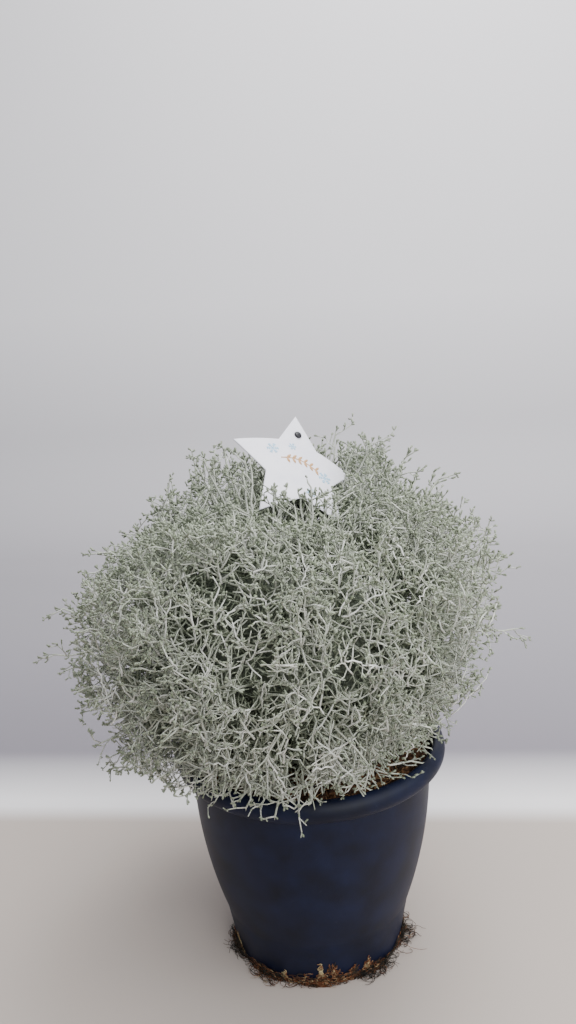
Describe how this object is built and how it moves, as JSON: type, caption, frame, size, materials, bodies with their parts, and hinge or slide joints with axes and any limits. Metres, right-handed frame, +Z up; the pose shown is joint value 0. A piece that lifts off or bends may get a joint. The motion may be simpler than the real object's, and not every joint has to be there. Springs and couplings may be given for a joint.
{
  "type": "potted cushion bush",
  "caption": "Cushion of wiry grey-white twigs growing from fibrous soil in a dark round pot with a rolled rim, with a star-shaped plant label on a stake and roots at the drain holes.",
  "frame": {"origin": "middle of the pot's flat base, on the surface that it stands on", "axes": "+Z up along the pot's axis, -Y towards the front of the picture, +X to its right"},
  "size_m": [0.4011, 0.3533, 0.4553],
  "materials": {
    "pot_plastic": "matte",
    "coco_soil": "matte",
    "bush_twigs": "matte",
    "label_card": "satin",
    "stake_plastic": "satin",
    "roots": "matte"
  },
  "bodies": {
    "root": {"pot": "pot_plastic", "soil": "coco_soil", "spray_crown_1": "bush_twigs", "spray_crown_2": "bush_twigs", "spray_crown_3": "bush_twigs", "spray_crown_4": "bush_twigs", "spray_flank_1": "bush_twigs", "spray_flank_2": "bush_twigs", "spray_flank_3": "bush_twigs", "spray_flank_4": "bush_twigs", "spray_flank_5": "bush_twigs", "spray_flank_6": "bush_twigs", "spray_skirt_1": "bush_twigs", "spray_skirt_2": "bush_twigs", "spray_skirt_3": "bush_twigs", "spray_skirt_4": "bush_twigs", "spray_skirt_5": "bush_twigs", "spray_skirt_6": "bush_twigs", "spray_skirt_7": "bush_twigs", "label_star": "label_card", "label_stake": "stake_plastic", "root_tuft_1": "roots", "root_tuft_2": "roots", "root_tuft_3": "roots", "root_tuft_4": "roots", "root_tuft_5": "roots", "root_tuft_6": "roots", "root_tuft_7": "roots"}
  },
  "joints": []
}
